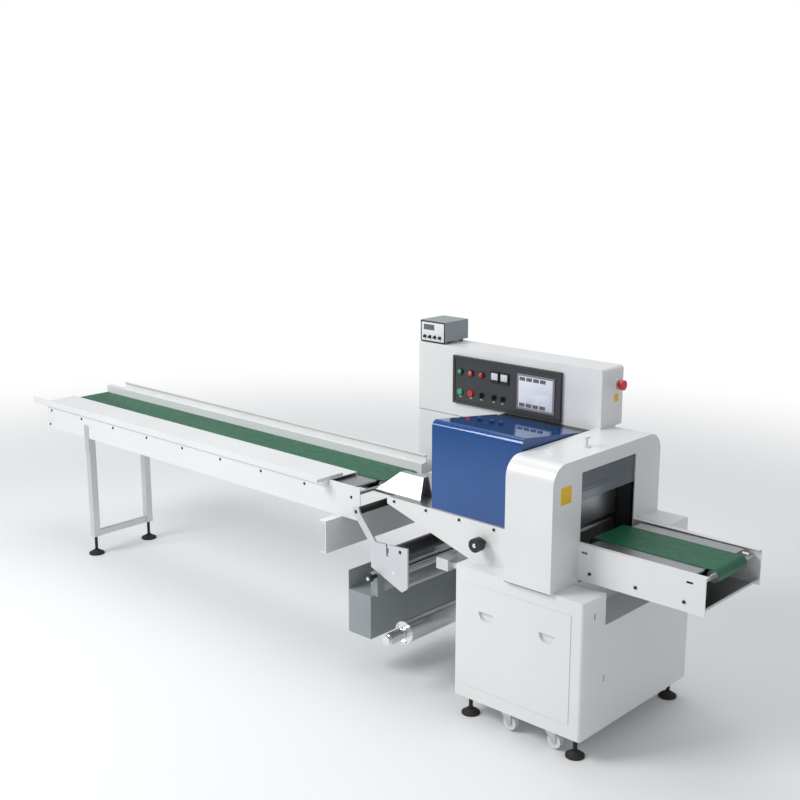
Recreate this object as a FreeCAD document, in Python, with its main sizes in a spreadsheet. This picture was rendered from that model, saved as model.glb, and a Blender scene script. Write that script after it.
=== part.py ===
import FreeCAD, Part
import os
import re
import Sketcher

# Horizontal flow wrapper (pillow packing machine), in millimetres.
# X runs with the product, from the infeed on the left to the outfeed on the right.
# Y points away from the operator, and Z is up from the floor.
# The origin is on the floor, under the product line, halfway along the machine.

SIZES = {
    # Base cabinet
    "base_length": 586, "base_depth": 740, "base_height": 529, "foot_height": 87,
    "front_to_line": 335, "corner_radius": 12,
    "panel_side_margin": 50, "panel_top_margin": 59, "panel_bottom_margin": 53, "panel_thickness": 2,
    "pull_inset": 104, "pull_drop": 124, "pull_radius": 34, "pull_depth": 9, "pull_rise": 24,
    "bay_drop": 122, "bay_front": 195, "bay_back": 208,
    "side_hole_radius": 5, "side_slot_reach": 9, "side_hole_inset": 72, "upper_hole_drop": 69,
    "lower_hole_drop": 328,
    "drive_cover_start": 215, "drive_cover_depth": 142, "drive_cover_height": 152,
    # Feet and casters
    "foot_inset": 48, "foot_radius": 36, "foot_rim": 7, "foot_cone": 16, "foot_hub_radius": 13,
    "foot_stem_radius": 8,
    "caster_inset": 42, "caster_right": 150, "caster_spacing": 205, "caster_trail": 18,
    "wheel_radius": 29, "wheel_width": 20, "wheel_lift": 6, "axle_radius": 4, "cheek_thickness": 3,
    "cheek_gap": 2, "cheek_radius": 11, "swivel_radius": 21, "swivel_height": 8, "crown_height": 7,
    # Rear frame and control cabinet
    "frame_front": 205, "frame_depth": 148, "frame_overhang": 669, "frame_drop": 136,
    "control_height": 298, "control_seam": 1022, "control_overlap": 27, "control_radius": 14,
    "fascia_length": 556, "fascia_height": 204, "fascia_thickness": 14, "fascia_left": 203,
    "fascia_rise": 60, "fascia_border": 11, "fascia_recess": 3,
    "screen_length": 186, "screen_height": 146, "screen_proud": 4, "screen_right": 28, "screen_rise": 28,
    "module_width": 42, "module_height": 48, "module_proud": 6, "module_left": 205, "module_pitch": 51,
    "control_row": 86, "lower_row": 53, "control_left": 42, "control_pitch": 57,
    "lamp_radius": 13, "lamp_proud": 8, "button_radius": 13, "button_proud": 8, "button_tail": 6,
    "knob_radius": 11, "knob_proud": 15, "knob_stem_radius": 4, "knob_tail": 8,
    "pot_left": 221, "pot_pitch": 46,
    "stop_base_radius": 22, "stop_base_thickness": 14, "stop_drop": 68, "stop_inset": 94,
    "stop_radius": 20, "stop_head": 16, "stop_stem_radius": 9, "stop_gap": 10, "stop_tail": 6,
    "box_length": 142, "box_depth": 150, "box_height": 84, "box_foot": 11, "box_foot_radius": 8,
    # Forming section and safety cover
    "plate_setback": 96, "plate_thickness": 6, "plate_reach": 428, "plate_height": 156, "plate_nose": 28,
    "table_thickness": 8, "table_drop": 4, "seal_unit_length": 190, "seal_unit_depth": 330,
    "seal_unit_height": 130, "seal_unit_start": 20,
    "handwheel_radius": 27, "handwheel_depth": 34, "handwheel_hub": 12, "handwheel_stand": 22,
    "handwheel_left": 73, "handwheel_rise": 83, "handwheel_pin": 6, "handwheel_face": 12,
    "former_length": 129, "former_gap": 14, "former_outer": 200, "former_inner": 125,
    "former_rise": 82, "former_sheet": 4, "former_ridge": 30, "former_rake": 108, "former_tail": 24,
    "cover_length": 433, "cover_gap": 6, "cover_inset": 4, "cover_base_gap": 5, "cover_height": 355,
    "cover_drop": 50, "cover_back": 143, "cover_sheet": 5, "cover_radius": 26, "cover_wall": 96,
    "hinge_radius": 7, "hinge_play": 1, "hinge_relief": 2, "hinge_plate": 8,
    # End sealer
    "arch_setback": 132, "arch_length": 208, "arch_depth": 704, "arch_height": 469, "arch_radius": 74,
    "arch_sheet": 4, "opening_width": 354, "opening_height": 415, "window_height": 109,
    "window_sheet": 5, "window_lap": 8,
    "jaw_plate_thickness": 12, "jaw_plate_gap": 6, "jaw_plate_length": 168, "jaw_plate_height": 380,
    "jaw_beam_height": 50, "jaw_radius": 72, "jaw_spacing": 154, "jaw_shaft_radius": 20,
    "jaw_width": 44, "jaw_end_gap": 10,
    "post_radius": 6, "post_height": 34, "post_cap_radius": 14, "post_cap": 7, "post_base_radius": 17,
    "post_forward": 39, "post_left": 128, "run_clearance": 0.05,
    # Conveyors
    "belt_rise": 154, "belt_sheet": 3, "roller_radius": 22, "journal_radius": 8, "bed_thickness": 6,
    "bed_gap": 0.3, "sheet": 3,
    "outfeed_length": 518, "outfeed_width": 395, "outfeed_height": 137, "outfeed_lip": 20,
    "outfeed_rise": 3, "belt_width": 200, "outfeed_roller_inset": 30, "outfeed_start": 14,
    "slot_length": 26, "slot_height": 8, "slot_inset": 22, "slot_drop": 22,
    "pan_lip": 22,
    "infeed_standoff": 564, "infeed_length": 2364, "infeed_front": 275, "infeed_height": 141,
    "infeed_rise": 10, "belt_side_gap": 5, "infeed_lip": 13, "infeed_foot": 40,
    "top_plate_setback": 185, "infeed_nose_inset": 12, "infeed_drive_inset": 40,
    "guard_shelf": 34, "guard_height": 34, "guard_setback": 135, "guard_lip": 12, "back_rise": 26,
    "rail_overhang": 126, "rail_height": 30, "rail_depth": 10, "rail_rise": 6,
    "end_bar_width": 41, "end_bar_reach": 65, "end_bar_depth": 150, "end_bar_height": 15,
    "stand_inset": 367, "post_width": 36, "stand_post_gap": 300, "stand_foot_height": 98,
    "stand_bar_height": 30, "tab_thickness": 4, "tab_overlap": 72, "tab_length": 150,
    "stand_foot_radius": 40,
    "support_height": 140, "support_front": 96, "support_flange": 38,
    "support_sheet": 4, "support_lap": 60,
    # Film unwinding
    "film_plate_line": 335, "film_plate_thickness": 8, "film_plate_left": 244, "film_plate_length": 200,
    "film_plate_top": 3, "film_plate_height": 189, "film_plate_side": 123, "film_plate_toe": 170,
    "film_plate_heel": 23, "film_plate_skew": 13, "plate_slot_width": 14,
    "plate_slot_left": 109, "plate_slot_depth": 56,
    "arm_reach": 84, "arm_rise": 91, "arm_radius": 20, "arm_half": 12, "arm_root_x": 24, "arm_root_z": 34,
    "web_radius": 22, "upper_web_radius": 28, "web_journal": 8, "upper_web_inset": 40, "upper_web_drop": 23,
    "lower_web_inset": 78, "lower_web_drop": 120, "arm_roller_radius": 15, "tie_radius": 11,
    "web_end_gap": 4, "tie_inset": 24, "upper_tie_drop": 70, "tie_drop": 162,
    "back_plate_height": 320, "back_plate_left": 594, "back_plate_thickness": 16,
    "film_shaft_left": 301, "film_shaft_drop": 248, "film_shaft_radius": 45, "film_shaft_front": 285,
    "film_shaft_gap": 8, "shaft_rim": 8, "shaft_rim_radius": 47, "shaft_hub": 103, "shaft_hub_radius": 24,
    "shaft_cap": 12, "shaft_cap_radius": 20, "shaft_journal": 14,
    "motor_box_left": 447, "motor_box_length": 128, "motor_box_height": 187, "motor_box_drop": 308,
    "motor_flange": 83, "lock_radius": 17, "lock_depth": 18, "lock_left": 433, "lock_drop": 167,
    "lock_pin": 5, "lock_stand": 30, "lock_bracket": 60,
    "guide_length": 60, "guide_depth": 60, "guide_height": 46, "guide_left": 74, "guide_drop": 18,
    "guide_front": 290, "guide_arm": 20,
}

# Places are worked out from the sizes; a name here may use sizes and other places.
PLACES = {
    "left_reach": "base_length + infeed_standoff + infeed_length + rail_overhang",
    "right_reach": "outfeed_length - arch_setback",
    "base_right": "(left_reach - right_reach) / 2",
    "base_left": "base_right - base_length",
    "base_front": "0 - front_to_line",
    "base_back": "base_front + base_depth",
    "base_top": "foot_height + base_height",
    "arch_right": "base_right - arch_setback",
    "arch_left": "arch_right - arch_length",
    "arch_front": "0 - arch_depth / 2",
    "arch_back": "arch_depth / 2",
    "arch_top": "base_top + arch_height",
    "frame_left": "base_left - frame_overhang",
    "frame_bottom": "base_top - frame_drop",
    "frame_back": "frame_front + frame_depth",
    "control_right": "arch_left + control_overlap",
    "control_top": "control_seam + control_height",
    "fascia_x": "frame_left + fascia_left",
    "fascia_z": "control_seam + fascia_rise",
    "fascia_y": "frame_front - fascia_thickness",
    "fascia_face": "fascia_y + fascia_recess",
    "row_low": "fascia_z + lower_row",
    "row_high": "row_low + control_row",
    "stop_y": "frame_back - frame_depth + stop_inset",
    "stop_z": "control_top - stop_drop",
    "plate_front": "arch_front + plate_setback",
    "plate_back": "plate_front + plate_thickness",
    "plate_left": "base_left - plate_reach",
    "plate_top": "base_top + plate_height",
    "table_top": "plate_top - table_drop",
    "table_bottom": "table_top - table_thickness",
    "handwheel_x": "base_left + handwheel_left",
    "handwheel_z": "base_top + handwheel_rise",
    "cover_right": "arch_left - cover_gap",
    "cover_left": "cover_right - cover_length",
    "cover_front": "plate_front + cover_inset",
    "cover_bottom": "plate_top + cover_base_gap",
    "cover_top": "cover_bottom + cover_height",
    "cover_rear_top": "cover_top - cover_drop",
    "hinge_z": "cover_rear_top - hinge_radius",
    "knuckle": "cover_length / 5",
    "belt_level": "base_top + belt_rise",
    "jaw_x": "(arch_left + arch_right) / 2",
    "jaw_high": "belt_level + jaw_spacing / 2",
    "jaw_low": "belt_level - jaw_spacing / 2",
    "jaw_inner": "opening_width / 2 + jaw_plate_gap",
    "jaw_outer": "jaw_inner + jaw_plate_thickness",
    "post_x": "arch_left + post_left",
    "post_y": "0 - post_forward",
    "roller_z": "belt_level - belt_sheet - roller_radius",
    "belt_radius": "roller_radius + belt_sheet",
    "bed_top": "belt_level - belt_sheet - bed_gap",
    "outfeed_right": "arch_right + outfeed_length",
    "outfeed_top": "belt_level + outfeed_rise",
    "outfeed_bottom": "outfeed_top - outfeed_height",
    "outfeed_side": "outfeed_width / 2",
    "outfeed_first": "arch_right + outfeed_start",
    "outfeed_last": "outfeed_right - outfeed_roller_inset",
    "infeed_right": "base_left - infeed_standoff",
    "infeed_left": "infeed_right - infeed_length",
    "infeed_top": "belt_level + infeed_rise",
    "infeed_bottom": "infeed_top - infeed_height",
    "infeed_face": "0 - infeed_front",
    "infeed_back": "belt_width / 2 + belt_side_gap",
    "infeed_near": "0 - belt_width / 2 - belt_side_gap",
    "infeed_first": "infeed_left + infeed_nose_inset",
    "infeed_last": "infeed_right - infeed_drive_inset",
    "guard_base": "infeed_top + back_rise",
    "stand_x": "infeed_left + stand_inset",
    "stand_front": "infeed_face",
    "stand_rear": "stand_front + post_width + stand_post_gap",
    "support_right": "frame_left",
    "film_front": "0 - film_plate_line",
    "film_back": "film_front + film_plate_thickness",
    "film_right": "base_left - film_plate_left",
    "film_left": "film_right - film_plate_length",
    "film_top": "base_top - film_plate_top",
    "film_bottom": "film_top - film_plate_height",
    "arm_x": "film_left - arm_reach",
    "arm_z": "film_top + arm_rise",
    "shaft_x": "base_left - film_shaft_left",
    "shaft_z": "frame_bottom - film_shaft_drop",
    "shaft_front": "0 - film_shaft_front",
    "motor_right": "base_left - motor_box_left",
    "motor_left": "motor_right - motor_box_length",
    "motor_floor": "frame_bottom - motor_box_drop",
    "motor_top": "motor_floor + motor_box_height",
    "lock_x": "base_left - lock_left",
    "lock_z": "base_top - lock_drop",
}

WORD = re.compile(r"[a-z][a-z0-9_]*")
TURNS = {
    "X": FreeCAD.Rotation(FreeCAD.Vector(0, 1, 0), 90),
    "Y": FreeCAD.Rotation(FreeCAD.Vector(1, 0, 0), -90),
    "Z": FreeCAD.Rotation(),
}

document = FreeCAD.newDocument("flow_wrapper")
sheet = document.addObject("Spreadsheet::Sheet", "Sizes")
for row, (alias, value) in enumerate(SIZES.items(), start=1):
    sheet.set("A%d" % row, alias)
    sheet.set("B%d" % row, str(value))
    sheet.setAlias("B%d" % row, alias)
document.recompute()

nodes = []


def formula(text):
    """Spell a formula out in cells of the sheet."""
    def spell(match):
        word = match.group(0)
        if word in PLACES:
            return "(" + formula(PLACES[word]) + ")"
        if word not in SIZES:
            raise KeyError(word)
        return "Sizes." + word
    return WORD.sub(spell, str(text))


def bind(item, **values):
    for name, text in values.items():
        item.setExpression(name, formula(text))


def place(item, x, y, z):
    for axis, text in (("x", x), ("y", y), ("z", z)):
        item.setExpression("Placement.Base." + axis, formula(text))


def block(x, y, z):
    """A box from three pairs of formulas, each pair the low and the high side."""
    item = document.addObject("Part::Box", "block")
    for name, (low, high) in (("Length", x), ("Width", y), ("Height", z)):
        item.setExpression(name, formula("(%s) - (%s)" % (high, low)))
    place(item, x[0], y[0], z[0])
    return item


def rod(along, centre, ends, radius):
    """A cylinder along one axis; centre holds the other two coordinates in X, Y, Z order."""
    item = document.addObject("Part::Cylinder", "rod")
    item.Placement = FreeCAD.Placement(FreeCAD.Vector(), TURNS[along])
    bind(item, Radius=radius, Height="(%s) - (%s)" % (ends[1], ends[0]))
    spots = list(centre)
    spots.insert("XYZ".index(along), ends[0])
    place(item, *spots)
    return item


def cone(centre, ends, low_radius, high_radius):
    item = document.addObject("Part::Cone", "cone")
    bind(item, Radius1=low_radius, Radius2=high_radius, Height="(%s) - (%s)" % (ends[1], ends[0]))
    place(item, centre[0], centre[1], ends[0])
    return item


def fuse(*items):
    item = document.addObject("Part::MultiFuse", "fusion")
    item.Shapes = list(items)
    item.Refine = True
    return item


def cut(base, *tools):
    item = document.addObject("Part::Cut", "cut")
    item.Base = base
    item.Tool = tools[0] if len(tools) == 1 else fuse(*tools)
    item.Refine = True
    return item


def mirrored(source):
    """The same piece on the other side of the product line."""
    item = document.addObject("Part::Mirroring", "mirrored")
    item.Source = source
    item.Base = FreeCAD.Vector()
    item.Normal = FreeCAD.Vector(0, 1, 0)
    return item


def group(*items):
    item = document.addObject("Part::Compound", "group")
    item.Links = list(items)
    return item


def node(label, item):
    item.Label = label
    nodes.append(item)
    return item


def origin_plane(body, role):
    for item in body.Origin.OriginFeatures:
        if item.Role == role:
            return item


def profile(plane, corners, span, rounds=()):
    """A body padded from a closed outline, with some of its corners rounded.

    corners are pairs of formulas in the plane's two axes, span is the low and the high
    end of the pad, and rounds are pairs of a corner's number and its radius.
    """
    body = document.addObject("PartDesign::Body", "body")
    sketch = body.newObject("Sketcher::SketchObject", "outline")
    sketch.AttachmentSupport = [(origin_plane(body, plane + "_Plane"), "")]
    sketch.MapMode = "FlatFace"
    faces_back = plane == "XZ"
    sign = "0 - " if faces_back else ""
    sketch.setExpression("AttachmentOffset.Base.z", formula("%s(%s)" % (sign, span[0])))
    count = len(corners)
    turn = FreeCAD.Rotation(FreeCAD.Vector(0, 0, 1), 360 / count)
    spots = [FreeCAD.Vector(100, 0, 0)]
    for _ in range(count - 1):
        spots.append(turn.multVec(spots[-1]))
    for number in range(count):
        sketch.addGeometry(Part.LineSegment(spots[number], spots[(number + 1) % count]), False)
    for number in range(count):
        sketch.addConstraint(Sketcher.Constraint("Coincident", number, 2, (number + 1) % count, 1))
    for number, corner in enumerate(corners):
        for kind, text in zip(("DistanceX", "DistanceY"), corner):
            spot = spots[number]
            length = spot.x if kind == "DistanceX" else spot.y
            where = sketch.addConstraint(Sketcher.Constraint(kind, -1, 1, number, 1, length))
            sketch.setExpression("Constraints[%d]" % where, formula(text))
    pad = body.newObject("PartDesign::Pad", "pad")
    pad.Profile = sketch
    pad.Reversed = faces_back
    bind(pad, Length="(%s) - (%s)" % (span[1], span[0]))
    document.recompute()
    tip = pad
    for radius in dict.fromkeys(radius for _, radius in rounds):
        wanted = [number for number, size in rounds if size == radius]
        tip = round_corners(body, tip, sketch, wanted, radius)
    return body


def round_corners(body, base, sketch, numbers, radius):
    """Round the padded edges that start at the numbered corners of the outline."""
    normal = sketch.Placement.Rotation.multVec(FreeCAD.Vector(0, 0, 1))
    names = []
    for number in numbers:
        corner = sketch.Placement.multVec(sketch.Geometry[number].StartPoint)
        for index, edge in enumerate(base.Shape.Edges, start=1):
            offsets = [vertex.Point - corner for vertex in edge.Vertexes]
            if len(offsets) == 2 and all(offset.cross(normal).Length < 0.01 for offset in offsets):
                names.append("Edge%d" % index)
    fillet = body.newObject("PartDesign::Fillet", "rounding")
    fillet.Base = (base, names)
    bind(fillet, Radius=radius)
    document.recompute()
    return fillet


def around(centre, half):
    return ("(%s) - (%s)" % (centre, half), "(%s) + (%s)" % (centre, half))


# Base cabinet

def pull_recess(spot, depth):
    """A half-round finger pull, flat along its top."""
    level = "base_top - panel_top_margin - pull_drop + pull_rise"
    disc = rod("Y", (spot, level), depth, "pull_radius")
    above = block(around(spot, "pull_radius + 5"), depth, (level, "%s + pull_radius + 5" % level))
    return cut(disc, above)


PULL_SPOTS = ["base_left + panel_side_margin + pull_inset", "base_right - panel_side_margin - pull_inset"]


def side_slot(inset, drop):
    """An upright slot through the sheet at the cabinet's right side."""
    across = ("base_right - 10", "base_right + 10")
    y = "base_front + %s" % inset
    low = "base_top - %s - side_slot_reach" % drop
    high = "base_top - %s + side_slot_reach" % drop
    middle = block(across, around(y, "side_hole_radius"), (low, high))
    ends = [rod("X", (y, level), across, "side_hole_radius") for level in (low, high)]
    return fuse(middle, *ends)


def base_cabinet():
    """The welded housing, with the open bay under the outfeed and the corner column beside it."""
    corners = [("base_left", "base_front"), ("base_right", "base_front"),
               ("base_right", "base_back"), ("base_left", "base_back")]
    body = profile("XY", corners, ("foot_height", "base_top"),
                   [(number, "corner_radius") for number in range(4)])
    bay = block(("arch_right", "base_right + 10"), ("0 - bay_front", "bay_back"),
                ("base_top - bay_drop", "base_top + 10"))
    pulls = [pull_recess(spot, ("base_front - 5", "base_front + pull_depth")) for spot in PULL_SPOTS]
    pulls += [pull_recess(spot, ("base_back - pull_depth", "base_back + 5")) for spot in PULL_SPOTS]
    slots = [side_slot("side_hole_inset", "upper_hole_drop"),
             side_slot("2 * side_hole_inset", "lower_hole_drop")]
    return node("base_cabinet", cut(body, bay, *slots, *pulls))


def base_panels():
    """The lift-off front and back panels, each cut out over its two finger pulls."""
    across = ("base_left + panel_side_margin", "base_right - panel_side_margin")
    height = ("foot_height + panel_bottom_margin", "base_top - panel_top_margin")
    panels = []
    for span in (("base_front - panel_thickness", "base_front"),
                 ("base_back", "base_back + panel_thickness")):
        through = ("%s - 5" % span[0], "%s + 5" % span[1])
        pulls = [pull_recess(spot, through) for spot in PULL_SPOTS]
        panels.append(cut(block(across, span, height), *pulls))
    return node("base_panels", group(*panels))


def rear_drive_cover():
    corners = [("drive_cover_start", "base_top"), ("drive_cover_start + drive_cover_depth", "base_top"),
               ("drive_cover_start + drive_cover_depth", "base_top + drive_cover_height"),
               ("drive_cover_start", "base_top + drive_cover_height")]
    body = profile("YZ", corners, ("arch_right", "base_right"), [(2, "corner_radius")])
    return node("rear_drive_cover", body)


# Feet and casters

def foot(x, y, radius, top):
    rim = rod("Z", (x, y), ("0", "foot_rim"), radius)
    hill = cone((x, y), ("foot_rim", "foot_rim + foot_cone"), radius, "foot_hub_radius")
    stem = rod("Z", (x, y), ("foot_rim", top), "foot_stem_radius")
    return fuse(rim, hill, stem)


def levelling_feet():
    feet = []
    for x in ("base_left + foot_inset", "base_right - foot_inset"):
        for y in ("base_front + foot_inset", "base_back - foot_inset"):
            feet.append(foot(x, y, "foot_radius", "foot_height"))
    for y in ("stand_front + post_width / 2", "stand_rear + post_width / 2"):
        feet.append(foot("stand_x", y, "stand_foot_radius", "stand_foot_height"))
    return node("levelling_feet", group(*feet))


def caster(number, x, y):
    """A swivel fork with its axle, and the wheel that runs on it."""
    axle_x = "%s + caster_trail" % x
    axle_z = "wheel_lift + wheel_radius"
    crown_top = "foot_height - swivel_height"
    crown_low = "foot_height - swivel_height - crown_height"
    half_gap = "wheel_width / 2 + cheek_gap"
    half_out = "wheel_width / 2 + cheek_gap + cheek_thickness"
    swivel = rod("Z", (x, y), (crown_top, "foot_height - bed_gap"), "swivel_radius")
    crown = block(("%s - swivel_radius" % x, "%s + cheek_radius" % axle_x), around(y, half_out),
                  (crown_low, crown_top))
    axle = rod("Y", (axle_x, axle_z), around(y, half_out), "axle_radius")
    cheeks = []
    for near, far in (("0 - (%s)" % half_out, "0 - (%s)" % half_gap), (half_gap, half_out)):
        span = ("%s + %s" % (y, near), "%s + %s" % (y, far))
        corners = [("%s - swivel_radius" % x, crown_low), ("%s - cheek_radius" % axle_x, axle_z),
                   ("%s - cheek_radius * 0.6" % axle_x, "%s - cheek_radius * 0.8" % axle_z),
                   ("%s + cheek_radius * 0.6" % axle_x, "%s - cheek_radius * 0.8" % axle_z),
                   ("%s + cheek_radius" % axle_x, axle_z), ("%s + cheek_radius" % axle_x, crown_low)]
        cheeks.append(profile("XZ", corners, span))
    node("caster_fork_%d" % number, fuse(swivel, crown, axle, *cheeks))
    tyre = rod("Y", (axle_x, axle_z), around(y, "wheel_width / 2"), "wheel_radius")
    hub = rod("Y", (axle_x, axle_z), around(y, "wheel_width / 2 + cheek_gap / 2"), "cheek_radius")
    bore = rod("Y", (axle_x, axle_z), around(y, half_out), "axle_radius + run_clearance")
    node("caster_wheel_%d" % number, cut(fuse(tyre, hub), bore))


def casters():
    number = 0
    for y in ("base_front + caster_inset", "base_back - caster_inset"):
        for x in ("base_right - caster_right", "base_right - caster_right - caster_spacing"):
            number += 1
            caster(number, x, y)


# Rear frame and control cabinet

def rear_frame():
    corners = [("frame_left", "frame_bottom"), ("base_left", "frame_bottom"), ("base_left", "base_top"),
               ("arch_left", "base_top"), ("arch_left", "control_seam"), ("frame_left", "control_seam")]
    return node("rear_frame", profile("XZ", corners, ("frame_front", "frame_back")))


def control_cabinet():
    """The long cabinet on top, stepped at its right end to stand over the sealer's hood."""
    corners = [("frame_left", "control_seam"), ("arch_left", "control_seam"), ("arch_left", "arch_top"),
               ("control_right", "arch_top"), ("control_right", "control_top"),
               ("frame_left", "control_top")]
    body = profile("XZ", corners, ("frame_front", "frame_back"), [(4, "control_radius")])
    return node("control_cabinet", body)


def fascia_spot(across):
    return "fascia_x + (%s)" % across


def control_fascia():
    """The dark panel plate: a raised border, with bores for the buttons and knob stems."""
    depth = ("fascia_y", "frame_front")
    plate = block(("fascia_x", "fascia_x + fascia_length"), depth, ("fascia_z", "fascia_z + fascia_height"))
    tools = [block(("fascia_x + fascia_border", "fascia_x + fascia_length - fascia_border"),
                   ("fascia_y - 10", "fascia_face"),
                   ("fascia_z + fascia_border", "fascia_z + fascia_height - fascia_border"))]
    for column in (0, 1):
        spot = fascia_spot("control_left + %d * control_pitch" % column)
        tools.append(rod("Y", (spot, "row_low"), ("fascia_y - 10", "fascia_face + button_tail + 4"),
                         "button_radius + run_clearance"))
    for spot in KNOB_SPOTS:
        tools.append(rod("Y", (spot, "row_low"), ("fascia_y - 10", "fascia_face + knob_tail + 1"),
                         "knob_stem_radius + run_clearance"))
    return node("control_fascia", cut(plate, *tools))


KNOB_SPOTS = [fascia_spot("control_left + 2 * control_pitch"), fascia_spot("pot_left"),
              fascia_spot("pot_left + pot_pitch")]


def panel_fittings():
    screen_x = "fascia_x + fascia_length - screen_right"
    node("touch_screen", block(("%s - screen_length" % screen_x, screen_x),
                               ("fascia_face - screen_proud", "fascia_face"),
                               ("fascia_z + screen_rise", "fascia_z + screen_rise + screen_height")))
    modules = []
    for column in (0, 1):
        left = fascia_spot("module_left + %d * module_pitch" % column)
        modules.append(block((left, "%s + module_width" % left),
                             ("fascia_face - module_proud", "fascia_face"),
                             around("row_high", "module_height / 2")))
    node("display_modules", group(*modules))
    lamps = []
    for column in range(3):
        spot = fascia_spot("control_left + %d * control_pitch" % column)
        lamps.append(rod("Y", (spot, "row_high"), ("fascia_face - lamp_proud", "fascia_face"),
                         "lamp_radius"))
    node("pilot_lamps", group(*lamps))
    for column in (0, 1):
        spot = fascia_spot("control_left + %d * control_pitch" % column)
        node("push_button_%d" % (column + 1),
             rod("Y", (spot, "row_low"), ("fascia_face - button_proud", "fascia_face + button_tail"),
                 "button_radius"))
    for number, spot in enumerate(KNOB_SPOTS, start=1):
        front = "fascia_face - knob_proud"
        face = rod("Y", (spot, "row_low"), ("%s + 6" % front, "fascia_face - bed_gap"), "knob_radius")
        grip = block(around(spot, "knob_radius / 3"), (front, "%s + 8" % front),
                     around("row_low", "knob_radius * 0.9"))
        stem = rod("Y", (spot, "row_low"), ("%s + 8" % front, "fascia_face + knob_tail"),
                   "knob_stem_radius")
        node("selector_knob_%d" % number, fuse(face, grip, stem))


def stop_switch():
    """The red mushroom button on its square base at the cabinet's right end."""
    depth = ("control_right", "control_right + stop_base_thickness")
    base = rod("X", ("stop_y", "stop_z"), depth, "stop_base_radius")
    bore = rod("X", ("stop_y", "stop_z"), ("control_right + 2", "%s + 10" % depth[1]),
               "stop_stem_radius + run_clearance")
    node("stop_switch_base", cut(base, bore))
    head_left = "%s + stop_gap" % depth[1]
    head = rod("X", ("stop_y", "stop_z"), (head_left, "%s + stop_head" % head_left), "stop_radius")
    stem = rod("X", ("stop_y", "stop_z"), ("%s - stop_tail" % depth[1], "%s + 1" % head_left),
               "stop_stem_radius")
    node("stop_button", fuse(head, stem))


def controller_box():
    floor = "control_top + box_foot"
    span_x = ("frame_left + 5", "frame_left + 5 + box_length")
    span_y = ("frame_front + 2", "frame_front + 2 + box_depth")
    case = block(span_x, span_y, (floor, "%s + box_height" % floor))
    feet = []
    for x in ("%s + 18" % span_x[0], "%s - 18" % span_x[1]):
        for y in ("%s + 18" % span_y[0], "%s - 24" % span_y[1]):
            feet.append(rod("Z", (x, y), ("control_top", "%s + 1" % floor), "box_foot_radius"))
    return node("controller_box", fuse(case, *feet))


# Forming section

def front_side_plate():
    """The long side plate, tapered to a rounded nose under the end of the infeed."""
    corners = [("base_left", "base_top"), ("arch_left", "base_top"), ("arch_left", "plate_top"),
               ("plate_left", "plate_top"), ("plate_left", "plate_top - plate_nose")]
    body = profile("XZ", corners, ("plate_front", "plate_back"),
                   [(3, "plate_thickness"), (4, "plate_thickness")])
    bore = rod("Y", ("handwheel_x", "handwheel_z"), ("plate_front - 5", "plate_back + 5"),
               "handwheel_pin + run_clearance")
    return node("front_side_plate", cut(body, bore))


def forming_table():
    table = block(("plate_left", "arch_left"), ("plate_back", "frame_front"),
                  ("table_bottom", "table_top"))
    slot = block(("base_left - former_length", "arch_left - former_length"), around("0", "table_thickness"),
                 ("table_bottom - 5", "table_top + 5"))
    return node("forming_table", cut(table, slot))


def seal_drive_unit():
    left = "base_left - seal_unit_start - seal_unit_length"
    unit = block((left, "%s + seal_unit_length" % left),
                 ("0 - seal_unit_depth / 2", "seal_unit_depth / 2"),
                 ("table_bottom - seal_unit_height", "table_bottom"))
    return node("seal_drive_unit", unit)


def handwheel():
    rear = "plate_front - bed_gap"
    hub = rod("Y", ("handwheel_x", "handwheel_z"), ("%s - handwheel_stand" % rear, rear), "handwheel_hub")
    rim = rod("Y", ("handwheel_x", "handwheel_z"),
              ("%s - handwheel_stand - handwheel_depth" % rear, "%s - handwheel_stand" % rear),
              "handwheel_radius")
    dish = rod("Y", ("handwheel_x", "handwheel_z"),
               ("%s - handwheel_stand - handwheel_depth - 5" % rear,
                "%s - handwheel_stand - handwheel_depth + 5" % rear), "handwheel_face")
    pin = rod("Y", ("handwheel_x", "handwheel_z"), ("%s - 2" % rear, "plate_back"), "handwheel_pin")
    return node("handwheel", fuse(cut(rim, dish), hub, pin))


def film_former():
    """Two shoulders that the film folds over, raked at the side where the product enters."""
    left = "infeed_right + former_gap"
    right = "plate_left + former_length"
    inner_edge = "0 - former_inner"
    outline = [("0 - former_outer", "table_top"),
               ("%s - former_ridge" % inner_edge, "table_top + former_rise"),
               (inner_edge, "table_top + former_rise"), (inner_edge, "table_top"),
               ("%s - former_sheet" % inner_edge, "table_top"),
               ("%s - former_sheet" % inner_edge, "table_top + former_rise - former_sheet"),
               ("%s - former_ridge + former_sheet / 2" % inner_edge,
                "table_top + former_rise - former_sheet"),
               ("0 - former_outer + former_sheet * 2", "table_top")]
    shoulder = profile("YZ", outline, (left, right))
    rake = profile("XZ", [("%s - 5" % left, "table_top - 5"), (left, "table_top - 5"),
                          ("%s + former_rake" % left, "table_top + former_rise + 5"),
                          ("%s - 5" % left, "table_top + former_rise + 5")],
                   ("0 - former_outer - 5", "5 - former_inner"))
    tail = profile("XZ", [(right, "table_top"), ("%s + 5" % right, "table_top"),
                          ("%s + 5" % right, "table_top + former_rise + 5"),
                          ("%s - former_tail" % right, "table_top + former_rise + 5")],
                   ("0 - former_outer - 5", "5 - former_inner"))
    side = cut(shoulder, rake, tail)
    floor = block((left, right), ("0 - former_outer", "former_outer"),
                  ("table_top - former_sheet", "table_top"))
    under = block(("plate_left", "%s + 5" % right), ("0 - former_outer - 5", "former_outer + 5"),
                  ("table_top - former_sheet - 5", "table_top"))
    return node("film_former", fuse(side, mirrored(side), cut(floor, under)))


# Safety cover

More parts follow.
